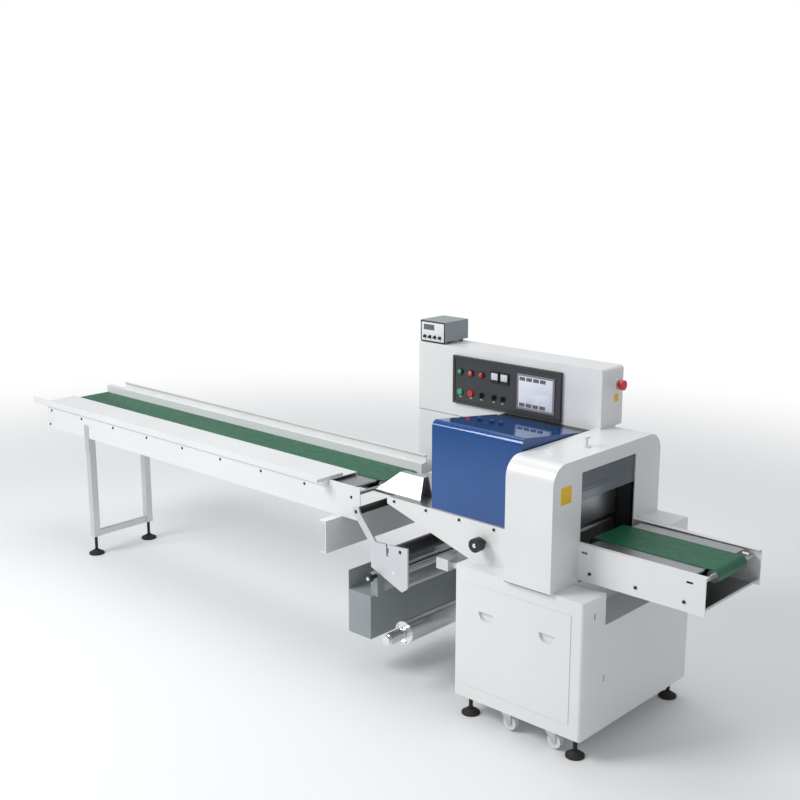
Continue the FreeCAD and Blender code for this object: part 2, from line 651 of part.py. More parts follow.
def knuckle_row(first, radius, inset):
    """Every second hinge knuckle, starting at the first or second fifth of the cover."""
    pieces = []
    for step in range(first, 5, 2):
        low = "cover_left + %d * knuckle + %s" % (step, inset)
        high = "cover_left + %d * knuckle - (%s)" % (step + 1, inset)
        pieces.append(rod("X", ("cover_back", "hinge_z"), (low, high), radius))
    return pieces


def cover_profile(inset, span, back):
    """The cover's section: an upright front, a rounded shoulder and a top that falls to the hinge."""
    front = "cover_front + %s" % inset
    corners = [(front, "cover_bottom - %s * 2" % inset), (back, "cover_bottom - %s * 2" % inset),
               (back, "cover_rear_top - %s" % inset), (front, "cover_top - %s" % inset)]
    return profile("YZ", corners, span, [(3, "cover_radius - %s" % inset)])


def safety_cover():
    outer = cover_profile("0", ("cover_left", "cover_right"), "cover_back")
    inner = cover_profile("cover_sheet", ("cover_left + cover_sheet", "cover_right - cover_sheet"),
                          "cover_back + 20")
    doorway = block(("cover_left - 5", "cover_right + 5"),
                    ("cover_front + cover_sheet", "cover_back + 20"),
                    ("cover_bottom - 20", "cover_top - cover_wall"))
    shell = cut(outer, inner, doorway, *knuckle_row(0, "hinge_radius + hinge_relief", "0"))
    return node("safety_cover", fuse(shell, *knuckle_row(1, "hinge_radius", "hinge_play")))


def cover_hinge_bar():
    bar = block(("cover_left", "cover_right"), ("cover_back", "frame_front"),
                ("hinge_z - hinge_radius", "hinge_z - hinge_radius + hinge_plate"))
    seats = knuckle_row(1, "hinge_radius + hinge_relief", "0")
    return node("cover_hinge_bar", fuse(cut(bar, *seats), *knuckle_row(0, "hinge_radius", "0")))


# End sealer

def seal_arch():
    """The folded hood over the sealing jaws, open below and through both ends."""
    def hood(inset, span):
        side = "arch_depth / 2 - %s" % inset
        corners = [("0 - (%s)" % side, "base_top"), (side, "base_top"),
                   (side, "arch_top - %s" % inset), ("0 - (%s)" % side, "arch_top - %s" % inset)]
        radius = "arch_radius - %s" % inset
        return profile("YZ", corners, span, [(2, radius), (3, radius)])
    shell = hood("0", ("arch_left", "arch_right"))
    inside = hood("arch_sheet", ("arch_left + arch_sheet", "arch_right - arch_sheet"))
    doorway = block(("arch_left - 5", "arch_right + 5"), around("0", "opening_width / 2"),
                    ("base_top - 5", "base_top + opening_height"))
    return node("seal_arch", cut(shell, inside, doorway))


def seal_window():
    top = "base_top + opening_height"
    return node("seal_window", block(("arch_right - arch_sheet - window_sheet", "arch_right - arch_sheet"),
                                     around("0", "opening_width / 2 + window_lap / 2"),
                                     ("%s - window_height" % top, "%s + window_lap" % top)))


def jaw_frame():
    """Two bearing plates joined by a beam above the jaws."""
    across = around("jaw_x", "jaw_plate_length / 2")
    top = "base_top + jaw_plate_height"
    near = block(across, ("0 - (jaw_outer)", "0 - (jaw_inner)"), ("base_top", top))
    far = block(across, ("jaw_inner", "jaw_outer"), ("base_top", top))
    beam = block(around("jaw_x", "jaw_plate_length / 4"), around("0", "jaw_inner + 1"),
                 ("%s - jaw_beam_height" % top, top))
    bores = [rod("Y", ("jaw_x", level), around("0", "jaw_outer + 5"), "jaw_shaft_radius + run_clearance")
             for level in ("jaw_low", "jaw_high")]
    return node("jaw_frame", cut(fuse(near, far, beam), *bores))


def jaw(label, level):
    """A rotor with two opposite sealing bars, each with a ribbed edge."""
    shaft = rod("Y", ("jaw_x", level), around("0", "jaw_outer"), "jaw_shaft_radius")
    half = "jaw_inner - jaw_end_gap"
    edge = "jaw_radius - 8"
    bar = block(around("jaw_x", "jaw_width / 2"), around("0", half), around(level, edge))
    tips = block(around("jaw_x", "jaw_width / 4"), around("0", half), around(level, "jaw_radius - 1"))
    groove = block(around("jaw_x", "jaw_width / 16"), around("0", "%s + 5" % half),
                   ("%s + jaw_radius - 5" % level, "%s + jaw_radius + 5" % level))
    opposite = block(around("jaw_x", "jaw_width / 16"), around("0", "%s + 5" % half),
                     ("%s - jaw_radius - 5" % level, "%s - jaw_radius + 5" % level))
    return node(label, cut(fuse(shaft, bar, tips), groove, opposite))


def pressure_post():
    foot_plate = rod("Z", ("post_x", "post_y"), ("arch_top", "arch_top + 4"), "post_base_radius")
    stem = rod("Z", ("post_x", "post_y"), ("arch_top + 3", "arch_top + post_height"), "post_radius")
    cap = rod("Z", ("post_x", "post_y"),
              ("arch_top + post_height - 1", "arch_top + post_height + post_cap"), "post_cap_radius")
    return node("pressure_post", fuse(foot_plate, stem, cap))


# Conveyors

def belt_loop(first, last):
    """An endless belt round two rollers."""
    def race(radius, half):
        return fuse(rod("Y", (first, "roller_z"), around("0", half), radius),
                    rod("Y", (last, "roller_z"), around("0", half), radius),
                    block((first, last), around("0", half), around("roller_z", radius)))
    return cut(race("belt_radius", "belt_width / 2"), race("roller_radius", "belt_width / 2 + 5"))


def roller(x, ends):
    drum = rod("Y", (x, "roller_z"), around("0", "belt_width / 2"), "roller_radius")
    journal = rod("Y", (x, "roller_z"), ends, "journal_radius")
    return fuse(drum, journal)


def conveyor_belts():
    node("outfeed_belt", belt_loop("outfeed_first", "outfeed_last"))
    node("infeed_belt", belt_loop("infeed_first", "infeed_last"))
    inside = around("0", "outfeed_side - sheet")
    across = ("infeed_face + sheet", "infeed_back")
    rollers = [roller(x, inside) for x in ("outfeed_first", "outfeed_last")]
    rollers += [roller(x, across) for x in ("infeed_first", "infeed_last")]
    node("conveyor_rollers", group(*rollers))


def outfeed_sides():
    """Two folded side plates with a lip along the top and two belt-tension slots each."""
    outer = "0 - outfeed_side"
    corners = [(outer, "outfeed_bottom"), ("%s + sheet" % outer, "outfeed_bottom"),
               ("%s + sheet" % outer, "outfeed_top - sheet"),
               ("%s + outfeed_lip" % outer, "outfeed_top - sheet"),
               ("%s + outfeed_lip" % outer, "outfeed_top"), (outer, "outfeed_top")]
    side = profile("YZ", corners, ("arch_right", "outfeed_right"))
    slots = []
    for left in ("arch_right + slot_inset", "outfeed_right - slot_inset - slot_length * 2"):
        slots.append(block((left, "%s + slot_length" % left), ("%s - 5" % outer, "%s + 10" % outer),
                           around("outfeed_top - slot_drop - slot_height", "slot_height / 2")))
    plate = cut(side, *slots)
    return node("outfeed_sides", group(plate, mirrored(plate)))


def outfeed_bed():
    """The slider bed between the belt's two runs, and the drip pan with its raised end lip."""
    bed = block(("outfeed_first + roller_radius + 4", "outfeed_last - roller_radius - 4"),
                around("0", "outfeed_side - sheet"), ("bed_top - bed_thickness", "bed_top"))
    corners = [("arch_right", "outfeed_bottom"), ("outfeed_right - pan_lip", "outfeed_bottom"),
               ("outfeed_right - sheet", "outfeed_bottom + pan_lip"),
               ("outfeed_right - sheet * 2", "outfeed_bottom + pan_lip + sheet"),
               ("outfeed_right - pan_lip - sheet", "outfeed_bottom + sheet"),
               ("arch_right", "outfeed_bottom + sheet")]
    pan = profile("XZ", corners, around("0", "outfeed_side - sheet"))
    return node("outfeed_bed", group(bed, pan))


def infeed_front_side():
    """The front side plate, folded over into the wide top plate beside the belt."""
    lip = "infeed_near"
    corners = [("infeed_face", "infeed_bottom"), ("infeed_face + infeed_foot", "infeed_bottom"),
               ("infeed_face + infeed_foot", "infeed_bottom + sheet"),
               ("infeed_face + sheet", "infeed_bottom + sheet"),
               ("infeed_face + sheet", "infeed_top - sheet"), ("%s - sheet" % lip, "infeed_top - sheet"),
               ("%s - sheet" % lip, "infeed_top - infeed_lip"), (lip, "infeed_top - infeed_lip"),
               (lip, "infeed_top"), ("infeed_face", "infeed_top")]
    side = profile("YZ", corners, ("infeed_left", "infeed_right"))
    window = block(("infeed_right - top_plate_setback", "infeed_right + 5"),
                   ("infeed_face + sheet * 4", "%s + 5" % lip), ("infeed_top - infeed_lip - 5",
                                                                 "infeed_top + 5"))
    return node("infeed_front_side", cut(side, window))


def infeed_back_side():
    """The back side plate, stepped outwards to carry the tall guide rail."""
    wall = "infeed_back"
    corners = [("%s + sheet - infeed_foot" % wall, "infeed_bottom"), ("%s + sheet" % wall, "infeed_bottom"),
               ("%s + sheet" % wall, "guard_base - sheet"),
               ("%s + guard_shelf" % wall, "guard_base - sheet"), ("%s + guard_shelf" % wall, "guard_base"),
               (wall, "guard_base"), (wall, "infeed_bottom + sheet"),
               ("%s + sheet - infeed_foot" % wall, "infeed_bottom + sheet")]
    return node("infeed_back_side", profile("YZ", corners, ("infeed_left", "infeed_right")))


def infeed_guard():
    face = "infeed_back + guard_shelf"
    corners = [("%s - guard_lip" % face, "guard_base"), (face, "guard_base"),
               (face, "guard_base + guard_height"),
               ("%s - guard_lip" % face, "guard_base + guard_height"),
               ("%s - guard_lip" % face, "guard_base + guard_height - sheet"),
               ("%s - sheet" % face, "guard_base + guard_height - sheet"),
               ("%s - sheet" % face, "guard_base + sheet"),
               ("%s - guard_lip" % face, "guard_base + sheet")]
    return node("infeed_guard", profile("YZ", corners, ("infeed_left + guard_setback", "infeed_right")))


def infeed_top_rail():
    """The edge rail that runs on past the left end, and the short bar across its right end."""
    rail = block(("infeed_left - rail_overhang", "infeed_right - top_plate_setback"),
                 ("infeed_face - rail_depth", "infeed_face"),
                 ("infeed_top + rail_rise - rail_height", "infeed_top + rail_rise"))
    right = "infeed_right - top_plate_setback"
    near = "infeed_face - end_bar_reach"
    bar = block(("%s - end_bar_width" % right, right), (near, "%s + end_bar_depth" % near),
                ("infeed_top", "infeed_top + end_bar_height"))
    return node("infeed_top_rail", fuse(rail, bar))


def infeed_bed():
    bed = block(("infeed_first + roller_radius + 4", "infeed_last - roller_radius - 4"),
                ("infeed_face + sheet", "infeed_back"), ("bed_top - bed_thickness", "bed_top"))
    return node("infeed_bed", bed)


def leg_stand():
    across = around("stand_x", "post_width / 2")
    posts = []
    for near in ("stand_front", "stand_rear"):
        posts.append(block(across, (near, "%s + post_width" % near), ("stand_foot_height", "infeed_bottom")))
    bar = block(around("stand_x", "post_width / 3"), ("stand_front + 5", "stand_rear + 5"),
                ("stand_foot_height", "stand_foot_height + stand_bar_height"))
    tab = profile("XZ", [(across[0], "infeed_bottom - tab_length + tab_overlap"),
                         (across[1], "infeed_bottom - tab_length + tab_overlap"),
                         (across[1], "infeed_bottom + tab_overlap"),
                         (across[0], "infeed_bottom + tab_overlap")],
                  ("infeed_face - tab_thickness", "infeed_face"),
                  [(2, "post_width * 0.45"), (3, "post_width * 0.45")])
    return node("leg_stand", fuse(posts[0], posts[1], bar, tab))


def infeed_support():
    """The deep channel across the machine that carries the driven end of the infeed."""
    right = "support_right"
    left = "%s - support_flange" % right
    low = "infeed_bottom - support_height"
    corners = [(left, low), (right, low), (right, "infeed_bottom"), (left, "infeed_bottom"),
               (left, "infeed_bottom - support_sheet"),
               ("%s - support_sheet" % right, "infeed_bottom - support_sheet"),
               ("%s - support_sheet" % right, "%s + support_sheet" % low),
               (left, "%s + support_sheet" % low)]
    return node("infeed_support", profile("XZ", corners, ("infeed_face - support_front",
                                                               "frame_front + support_lap")))


# Film unwinding

def film_front_plate():
    """The bearing plate with its slotted swing arm, held off the rear frame by two tie bars."""
    corners = [("film_left", "film_top - film_plate_side"),
               ("film_left + film_plate_toe", "film_bottom"),
               ("film_right", "film_bottom + film_plate_heel"), ("film_right", "film_top"),
               ("film_left", "film_top - film_plate_skew")]
    plate = profile("XZ", corners, ("film_front", "film_back"), [(1, "film_plate_thickness"),
                                                                 (2, "film_plate_thickness")])
    root_x = "film_left + arm_root_x"
    root_z = "film_top - arm_root_z"
    arm = profile("XZ", [("arm_x - arm_half", "arm_z - arm_half"),
                         ("%s - arm_half" % root_x, "%s - arm_half" % root_z),
                         ("%s + arm_half" % root_x, "%s + arm_half" % root_z),
                         ("arm_x + arm_half", "arm_z + arm_half")], ("film_front", "film_back"))
    eye = rod("Y", ("arm_x", "arm_z"), ("film_front", "film_back"), "arm_radius")
    through = ("film_front - 5", "film_back + 5")
    slot = block(around("film_right - plate_slot_left", "plate_slot_width / 2"), through,
                 ("film_top - plate_slot_depth", "film_top + 5"))
    bores = [rod("Y", spot, through, "web_journal + run_clearance") for spot in WEB_SPOTS]
    ties = [rod("Y", spot, ("film_back - 1", "frame_front"), "tie_radius") for spot in TIE_SPOTS]
    return node("film_front_plate", fuse(cut(fuse(plate, arm, eye), slot, *bores), *ties))


WEB_SPOTS = [("film_right - upper_web_inset", "film_top - upper_web_drop"),
             ("film_right - lower_web_inset", "film_top - lower_web_drop"),
             ("arm_x", "arm_z")]
TIE_SPOTS = [("film_left + tie_inset", "film_top - upper_tie_drop"),
             ("film_right - tie_inset", "film_top - tie_drop")]


def web_rollers():
    for number, spot in enumerate(WEB_SPOTS, start=1):
        radius = ("upper_web_radius", "web_radius", "arm_roller_radius")[number - 1]
        drum = rod("Y", spot, ("film_back + web_end_gap", "frame_front - web_end_gap"), radius)
        journal = rod("Y", spot, ("film_front", "frame_front - bed_gap"), "web_journal")
        node("web_roller_%d" % number, fuse(drum, journal))


def film_back_plate():
    low = "frame_bottom - back_plate_height"
    plate = block(("base_left - back_plate_left", "base_left"),
                  ("frame_front", "frame_front + back_plate_thickness"), (low, "frame_bottom"))
    bore = rod("Y", ("shaft_x", "shaft_z"),
               ("frame_front - 5", "frame_front + back_plate_thickness + 5"),
               "shaft_journal + run_clearance")
    return node("film_back_plate", cut(plate, bore))


def film_shaft():
    """The film reel's expanding shaft, with its rim, clamping hub and cap."""
    spot = ("shaft_x", "shaft_z")
    drum = rod("Y", spot, ("shaft_front", "frame_front - film_shaft_gap"), "film_shaft_radius")
    rim = rod("Y", spot, ("shaft_front - shaft_rim", "shaft_front"), "shaft_rim_radius")
    dish = rod("Y", spot, ("shaft_front - shaft_rim - 5", "shaft_front - 2"), "shaft_rim_radius * 0.9")
    hub_end = "shaft_front - shaft_hub"
    hub = rod("Y", spot, (hub_end, "shaft_front"), "shaft_hub_radius")
    cap = rod("Y", spot, ("%s - shaft_cap" % hub_end, hub_end), "shaft_cap_radius")
    journal = rod("Y", spot, ("shaft_front", "frame_front + back_plate_thickness"), "shaft_journal")
    return node("film_shaft", fuse(drum, cut(rim, dish), hub, cap, journal))


def film_motor_box():
    box = block(("motor_left", "motor_right"), ("film_front", "frame_front"),
                ("motor_floor", "motor_top"))
    flange = block(("motor_left", "motor_left + sheet"), ("film_front", "frame_front"),
                   ("motor_top - 1", "motor_top + motor_flange"))
    bracket = block(("motor_right - lock_radius", "lock_x + lock_radius / 2"),
                    ("film_front + lock_depth", "film_front + lock_bracket"),
                    ("motor_top - 1", "lock_z + lock_radius / 2"))
    bore = rod("Y", ("lock_x", "lock_z"), ("film_front", "film_front + lock_bracket + 5"),
               "lock_pin + run_clearance")
    return node("film_motor_box", fuse(box, flange, cut(bracket, bore)))


def lock_knob():
    rear = "film_front + lock_depth - bed_gap"
    grip = rod("Y", ("lock_x", "lock_z"), ("%s - lock_stand - lock_depth" % rear, "%s - lock_stand" % rear),
               "lock_radius")
    neck = rod("Y", ("lock_x", "lock_z"), ("%s - lock_stand" % rear, rear), "lock_radius / 2")
    pin = rod("Y", ("lock_x", "lock_z"), ("%s - 2" % rear, "film_front + lock_bracket"), "lock_pin")
    return node("lock_knob", fuse(grip, neck, pin))


def web_guide_block():
    right = "base_left - guide_left"
    near = "0 - guide_front"
    high = "base_top - guide_drop"
    head = block(("%s - guide_length" % right, right), (near, "%s + guide_depth" % near),
                 ("%s - guide_height" % high, high))
    arm = block(("%s - 1" % right, "base_left"), around("%s + guide_depth / 2" % near, "guide_arm / 2"),
                around("%s - guide_height / 2" % high, "guide_arm / 2"))
    return node("web_guide_block", fuse(head, arm))


def build():
    base_cabinet()
    base_panels()
    rear_drive_cover()
    levelling_feet()
    casters()
    rear_frame()
    control_cabinet()
    control_fascia()
    panel_fittings()
    stop_switch()
    controller_box()
    front_side_plate()
    forming_table()
    seal_drive_unit()
    handwheel()
    film_former()
    safety_cover()
    cover_hinge_bar()
    seal_arch()
    seal_window()
    jaw_frame()
    jaw("upper_jaw", "jaw_high")
    jaw("lower_jaw", "jaw_low")
    pressure_post()
    conveyor_belts()
    outfeed_sides()
    outfeed_bed()
    infeed_front_side()
    infeed_back_side()
    infeed_guard()
    infeed_top_rail()
    infeed_bed()
    leg_stand()
    infeed_support()
    film_front_plate()
    web_rollers()
    film_back_plate()
    film_shaft()
    film_motor_box()
    lock_knob()
    web_guide_block()


def check():
    document.recompute()
    for item in document.Objects:
        if "Invalid" in item.State or "Error" in item.State:
            raise RuntimeError("%s (%s) did not compute" % (item.Label, item.Name))
    for item in nodes:
        if item.Shape.isNull() or not item.Shape.isValid() or not item.Shape.Solids:
            raise RuntimeError("%s has no valid shape" % item.Label)


def write():
    os.makedirs("parts", exist_ok=True)
    for item in nodes:
        item.Shape.exportStep(os.path.join("parts", item.Label + ".step"))
        box = item.Shape.BoundBox
        print("%-20s %2d solids  x %8.1f %8.1f  y %7.1f %7.1f  z %7.1f %7.1f" % (
            item.Label, len(item.Shape.Solids), box.XMin, box.XMax, box.YMin, box.YMax, box.ZMin, box.ZMax))


build()
check()
write()
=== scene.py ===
import math

import bmesh
import bpy
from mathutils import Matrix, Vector


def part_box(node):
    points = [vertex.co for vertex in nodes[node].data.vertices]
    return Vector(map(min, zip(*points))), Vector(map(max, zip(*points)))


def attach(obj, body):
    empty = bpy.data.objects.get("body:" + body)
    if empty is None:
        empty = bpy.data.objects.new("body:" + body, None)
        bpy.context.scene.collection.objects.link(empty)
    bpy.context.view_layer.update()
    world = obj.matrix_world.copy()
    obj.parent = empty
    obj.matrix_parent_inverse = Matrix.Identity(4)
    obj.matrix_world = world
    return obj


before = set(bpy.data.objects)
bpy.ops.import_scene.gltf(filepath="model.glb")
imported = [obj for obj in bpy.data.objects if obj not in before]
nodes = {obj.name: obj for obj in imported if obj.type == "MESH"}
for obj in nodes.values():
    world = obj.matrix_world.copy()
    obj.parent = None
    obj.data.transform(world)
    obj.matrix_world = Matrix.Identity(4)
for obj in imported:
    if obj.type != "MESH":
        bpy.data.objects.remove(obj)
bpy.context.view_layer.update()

MM = 0.001
MACHINE = "machine"
AXES = {"X": Vector((1, 0, 0)), "Y": Vector((0, 1, 0)), "Z": Vector((0, 0, 1)),
        "-X": Vector((-1, 0, 0)), "-Y": Vector((0, -1, 0)), "-Z": Vector((0, 0, -1))}


# Materials: each is a Principled shader whose colour, roughness and bump come from noise in object space.

def shader(name):
    material = bpy.data.materials.new(name)
    material.use_nodes = True
    tree = material.node_tree
    return material, tree, tree.nodes["Principled BSDF"]


def noise(tree, scale, stretch=(1, 1, 1), detail=3.0):
    """Noise in object space, in metres, stretched along an axis for brushed or woven looks."""
    place = tree.nodes.new("ShaderNodeTexCoord")
    mapping = tree.nodes.new("ShaderNodeMapping")
    mapping.inputs["Scale"].default_value = stretch
    pattern = tree.nodes.new("ShaderNodeTexNoise")
    pattern.inputs["Scale"].default_value = scale
    pattern.inputs["Detail"].default_value = detail
    tree.links.new(place.outputs["Object"], mapping.inputs["Vector"])
    tree.links.new(mapping.outputs["Vector"], pattern.inputs["Vector"])
    return pattern.outputs["Fac"]


def spread(tree, value, low, high):
    """Map the middle of a noise to a range."""
    node = tree.nodes.new("ShaderNodeMapRange")
    node.inputs["From Min"].default_value = 0.3
    node.inputs["From Max"].default_value = 0.7
    node.inputs["To Min"].default_value = low
    node.inputs["To Max"].default_value = high
    tree.links.new(value, node.inputs["Value"])
    return node.outputs["Result"]


def tint(tree, value, dark, light):
    node = tree.nodes.new("ShaderNodeMix")
    node.data_type = "RGBA"
    node.inputs["A"].default_value = (*dark, 1)
    node.inputs["B"].default_value = (*light, 1)
    tree.links.new(value, node.inputs["Factor"])
    return node.outputs["Result"]


def bump(tree, bsdf, height, strength, distance):
    node = tree.nodes.new("ShaderNodeBump")
    node.inputs["Strength"].default_value = strength
    node.inputs["Distance"].default_value = distance
    tree.links.new(height, node.inputs["Height"])
    tree.links.new(node.outputs["Normal"], bsdf.inputs["Normal"])


def surface(name, dark, light, rough, grain=(60, (1, 1, 1)), metallic=0.0, relief=(0.0, 0.0), coat=0.0):
    """A finish whose colour and roughness drift over a hand's breadth, with a fine grain in relief."""
    material, tree, bsdf = shader(name)
    drift = noise(tree, 3.5)
    fine = noise(tree, grain[0], grain[1])
    tree.links.new(tint(tree, spread(tree, drift, 0, 1), dark, light), bsdf.inputs["Base Color"])
    tree.links.new(spread(tree, fine, rough[0], rough[1]), bsdf.inputs["Roughness"])
    bsdf.inputs["Metallic"].default_value = metallic
    bsdf.inputs["Coat Weight"].default_value = coat
    bsdf.inputs["Coat Roughness"].default_value = 0.12
    if relief[0]:
        bump(tree, bsdf, fine, relief[0], relief[1])
    return material


def belt_cloth():
    """Coated belt: green with a fine crossed weave and a soft sheen."""
    material, tree, bsdf = shader("belt_cloth")
    place = tree.nodes.new("ShaderNodeTexCoord")
    waves = []
    for direction in ("X", "Y"):
        wave = tree.nodes.new("ShaderNodeTexWave")
        wave.wave_type = "BANDS"
        wave.bands_direction = direction
        wave.inputs["Scale"].default_value = 180
        tree.links.new(place.outputs["Object"], wave.inputs["Vector"])
        waves.append(wave.outputs["Fac"])
    weave = tree.nodes.new("ShaderNodeMath")
    weave.operation = "MULTIPLY"
    tree.links.new(waves[0], weave.inputs[0])
    tree.links.new(waves[1], weave.inputs[1])
    drift = noise(tree, 5, (0.4, 2, 1))
    colour = tint(tree, spread(tree, drift, 0, 1), (0.003, 0.085, 0.036), (0.005, 0.115, 0.05))
    tree.links.new(colour, bsdf.inputs["Base Color"])
    tree.links.new(spread(tree, noise(tree, 30), 0.36, 0.5), bsdf.inputs["Roughness"])
    bump(tree, bsdf, weave.outputs["Value"], 0.12, 0.0004)
    return material


def tinted_acrylic(name, colour, clear, rough=0.03):
    """Glossy sheet that lets part of the light straight through and takes its colour from the rest."""
    material, tree, bsdf = shader(name)
    drift = noise(tree, 4)
    darker = tuple(channel * 0.82 for channel in colour)
    tree.links.new(tint(tree, spread(tree, drift, 0, 1), darker, colour), bsdf.inputs["Base Color"])
    bsdf.inputs["Roughness"].default_value = rough
    bsdf.inputs["IOR"].default_value = 1.49
    bsdf.inputs["Coat Weight"].default_value = 0.6
    bsdf.inputs["Coat Roughness"].default_value = 0.02
    through = tree.nodes.new("ShaderNodeBsdfTransparent")
    through.inputs["Color"].default_value = (*(0.35 + 0.65 * channel for channel in colour), 1)
    blend = tree.nodes.new("ShaderNodeMixShader")
    blend.inputs["Fac"].default_value = clear
    tree.links.new(bsdf.outputs["BSDF"], blend.inputs[1])
    tree.links.new(through.outputs["BSDF"], blend.inputs[2])
    tree.links.new(blend.outputs["Shader"], tree.nodes["Material Output"].inputs["Surface"])
    return material


EVEN = (1, 1, 1)
WHITE = surface("white_enamel", (0.74, 0.745, 0.74), (0.78, 0.785, 0.78), (0.24, 0.36), (900, EVEN),
                relief=(0.06, 0.0002), coat=0.25)
GREY = surface("grey_enamel", (0.26, 0.29, 0.30), (0.30, 0.33, 0.34), (0.38, 0.5), (700, EVEN),
               relief=(0.1, 0.0002))
STEEL = surface("brushed_steel", (0.50, 0.50, 0.50), (0.60, 0.60, 0.61), (0.22, 0.42),
                (90, (0.5, 40, 40)), metallic=1.0, relief=(0.05, 0.0001))
ALUMINIUM = surface("anodised_aluminium", (0.62, 0.64, 0.66), (0.70, 0.72, 0.74), (0.34, 0.48),
                    (120, (1, 8, 30)), metallic=0.75, relief=(0.05, 0.0001))
CHROME = surface("polished_chrome", (0.72, 0.73, 0.74), (0.80, 0.81, 0.82), (0.06, 0.16), (60, EVEN),
                 metallic=1.0)
BLACK_STEEL = surface("black_oxide_steel", (0.012, 0.012, 0.013), (0.022, 0.022, 0.024), (0.28, 0.45),
                      (300, EVEN), relief=(0.08, 0.0002))
BLACK_PLASTIC = surface("black_plastic", (0.008, 0.008, 0.009), (0.016, 0.016, 0.017), (0.3, 0.44),
                        (800, EVEN), relief=(0.12, 0.0002))
FASCIA = surface("charcoal_panel", (0.035, 0.036, 0.040), (0.045, 0.046, 0.050), (0.3, 0.4),
                 (900, EVEN), relief=(0.1, 0.0002))
FRAME_BLACK = surface("panel_edge", (0.012, 0.012, 0.014), (0.02, 0.02, 0.022), (0.28, 0.4), (500, EVEN))
RUBBER = surface("foot_rubber", (0.010, 0.010, 0.010), (0.018, 0.018, 0.018), (0.6, 0.8), (400, EVEN),
                 relief=(0.2, 0.0004))
TREAD = surface("caster_tread", (0.62, 0.64, 0.66), (0.70, 0.72, 0.74), (0.4, 0.55), (300, EVEN))
RED = surface("red_moulding", (0.55, 0.010, 0.008), (0.65, 0.014, 0.010), (0.2, 0.3), (300, EVEN),
              coat=0.4)
ORANGE = surface("orange_lens", (0.72, 0.07, 0.02), (0.80, 0.09, 0.03), (0.18, 0.28), (300, EVEN),
                 coat=0.4)
GREEN = surface("green_moulding", (0.012, 0.36, 0.13), (0.018, 0.44, 0.17), (0.2, 0.3), (300, EVEN),
                coat=0.4)
YELLOW = surface("yellow_label", (0.80, 0.48, 0.015), (0.86, 0.54, 0.02), (0.35, 0.45), (200, EVEN))
PALE = surface("pale_print", (0.62, 0.64, 0.66), (0.70, 0.72, 0.74), (0.4, 0.5), (200, EVEN))
SCREEN = surface("screen_pale", (0.78, 0.80, 0.86), (0.84, 0.86, 0.90), (0.08, 0.14), (50, EVEN),
                 coat=0.6)
SCREEN_EDGE = surface("screen_frame", (0.20, 0.21, 0.23), (0.25, 0.26, 0.28), (0.25, 0.35), (300, EVEN))
KEY_GREY = surface("screen_key_grey", (0.10, 0.105, 0.12), (0.14, 0.145, 0.16), (0.12, 0.2), (60, EVEN))
# Near-black colour that paints the shade inside the panel joints.
GAP_SHADE = surface("painted_gap_shade", (0.02, 0.02, 0.02), (0.04, 0.04, 0.04), (0.6, 0.8), (200, EVEN))
BELT = belt_cloth()
BLUE = tinted_acrylic("blue_acrylic", (0.002, 0.085, 0.33), 0.2)
CLEAR = tinted_acrylic("clear_acrylic", (0.55, 0.60, 0.64), 0.78)


# Mesh helpers

def piece(name, body, material, build, smooth=True, angle=38):
    """A new mesh object made by build(bm), finished with its material and body."""
    mesh = bpy.data.meshes.new(name)
    work = bmesh.new()
    build(work)
    bmesh.ops.recalc_face_normals(work, faces=work.faces)
    work.to_mesh(mesh)
    work.free()
    obj = bpy.data.objects.new(name, mesh)
    bpy.context.scene.collection.objects.link(obj)
    mesh.materials.append(material)
    if smooth:
        mesh.shade_smooth()
        mesh.set_sharp_from_angle(angle=math.radians(angle))
    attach(obj, body)
    return obj


def block(work, low, high):
    """A box from its lowest to its highest corner."""
    low, high = Vector(low), Vector(high)
    made = bmesh.ops.create_cube(work, size=1)
    bmesh.ops.scale(work, vec=high - low, verts=made["verts"])
    bmesh.ops.translate(work, vec=(low + high) / 2, verts=made["verts"])
    return made["verts"]


def turned(work, centre, axis, outline, steps=32):
    """A lathe-turned form. outline is a list of (radius, distance along the axis)."""
    direction = AXES[axis] if isinstance(axis, str) else axis
    turn = Vector((0, 0, 1)).rotation_difference(direction).to_matrix()
    centre = Vector(centre)
    rings = []
    for radius, along in outline:
        if radius < 1e-6:
            rings.append([work.verts.new(centre + turn @ Vector((0, 0, along)))])
            continue
        ring = []
        for step in range(steps):
            angle = 2 * math.pi * step / steps
            spot = Vector((radius * math.cos(angle), radius * math.sin(angle), along))
            ring.append(work.verts.new(centre + turn @ spot))
        rings.append(ring)
    for near, far in zip(rings, rings[1:]):
        for step in range(steps):
            after = (step + 1) % steps
            if len(near) == 1 and len(far) == 1:
                continue
            if len(near) == 1:
                work.faces.new((near[0], far[step], far[after]))
            elif len(far) == 1:
                work.faces.new((near[step], far[0], near[after]))
            else:
                work.faces.new((near[step], near[after], far[after], far[step]))


def cap_screw(work, centre, axis, radius, height):
    """A socket head screw with a rounded rim and a blind socket."""
    socket, floor = radius * 0.5, height * 0.45
    turned(work, centre, axis, [(radius, 0), (radius, height * 0.8), (radius * 0.88, height),
                                (socket, height), (socket, floor), (0, floor)], 16)


def dome_screw(work, centre, axis, radius, height):
    turned(work, centre, axis, [(radius, 0), (radius * 0.96, height * 0.35), (radius * 0.75, height * 0.75),
                                (radius * 0.35, height), (0, height)], 16)


def soften(names, width, segments=2):
    """Break the sharp edges of CAD pieces, as folded or painted metal has them."""
    for name in names:
        obj = nodes[name]
        weld = obj.modifiers.new("weld", "WELD")
        weld.merge_threshold = 0.00002
        bevel = obj.modifiers.new("soft_edges", "BEVEL")
        bevel.width = width
        bevel.segments = segments
        bevel.limit_method = "ANGLE"
        bevel.angle_limit = math.radians(40)
        bevel.harden_normals = True
        if "custom_normal" in obj.data.attributes:
            obj.data.attributes.remove(obj.data.attributes["custom_normal"])
        obj.data.shade_smooth()


def paint(material, *names):
    for name in names:
        data = nodes[name].data
        data.materials.clear()
        data.materials.append(material)


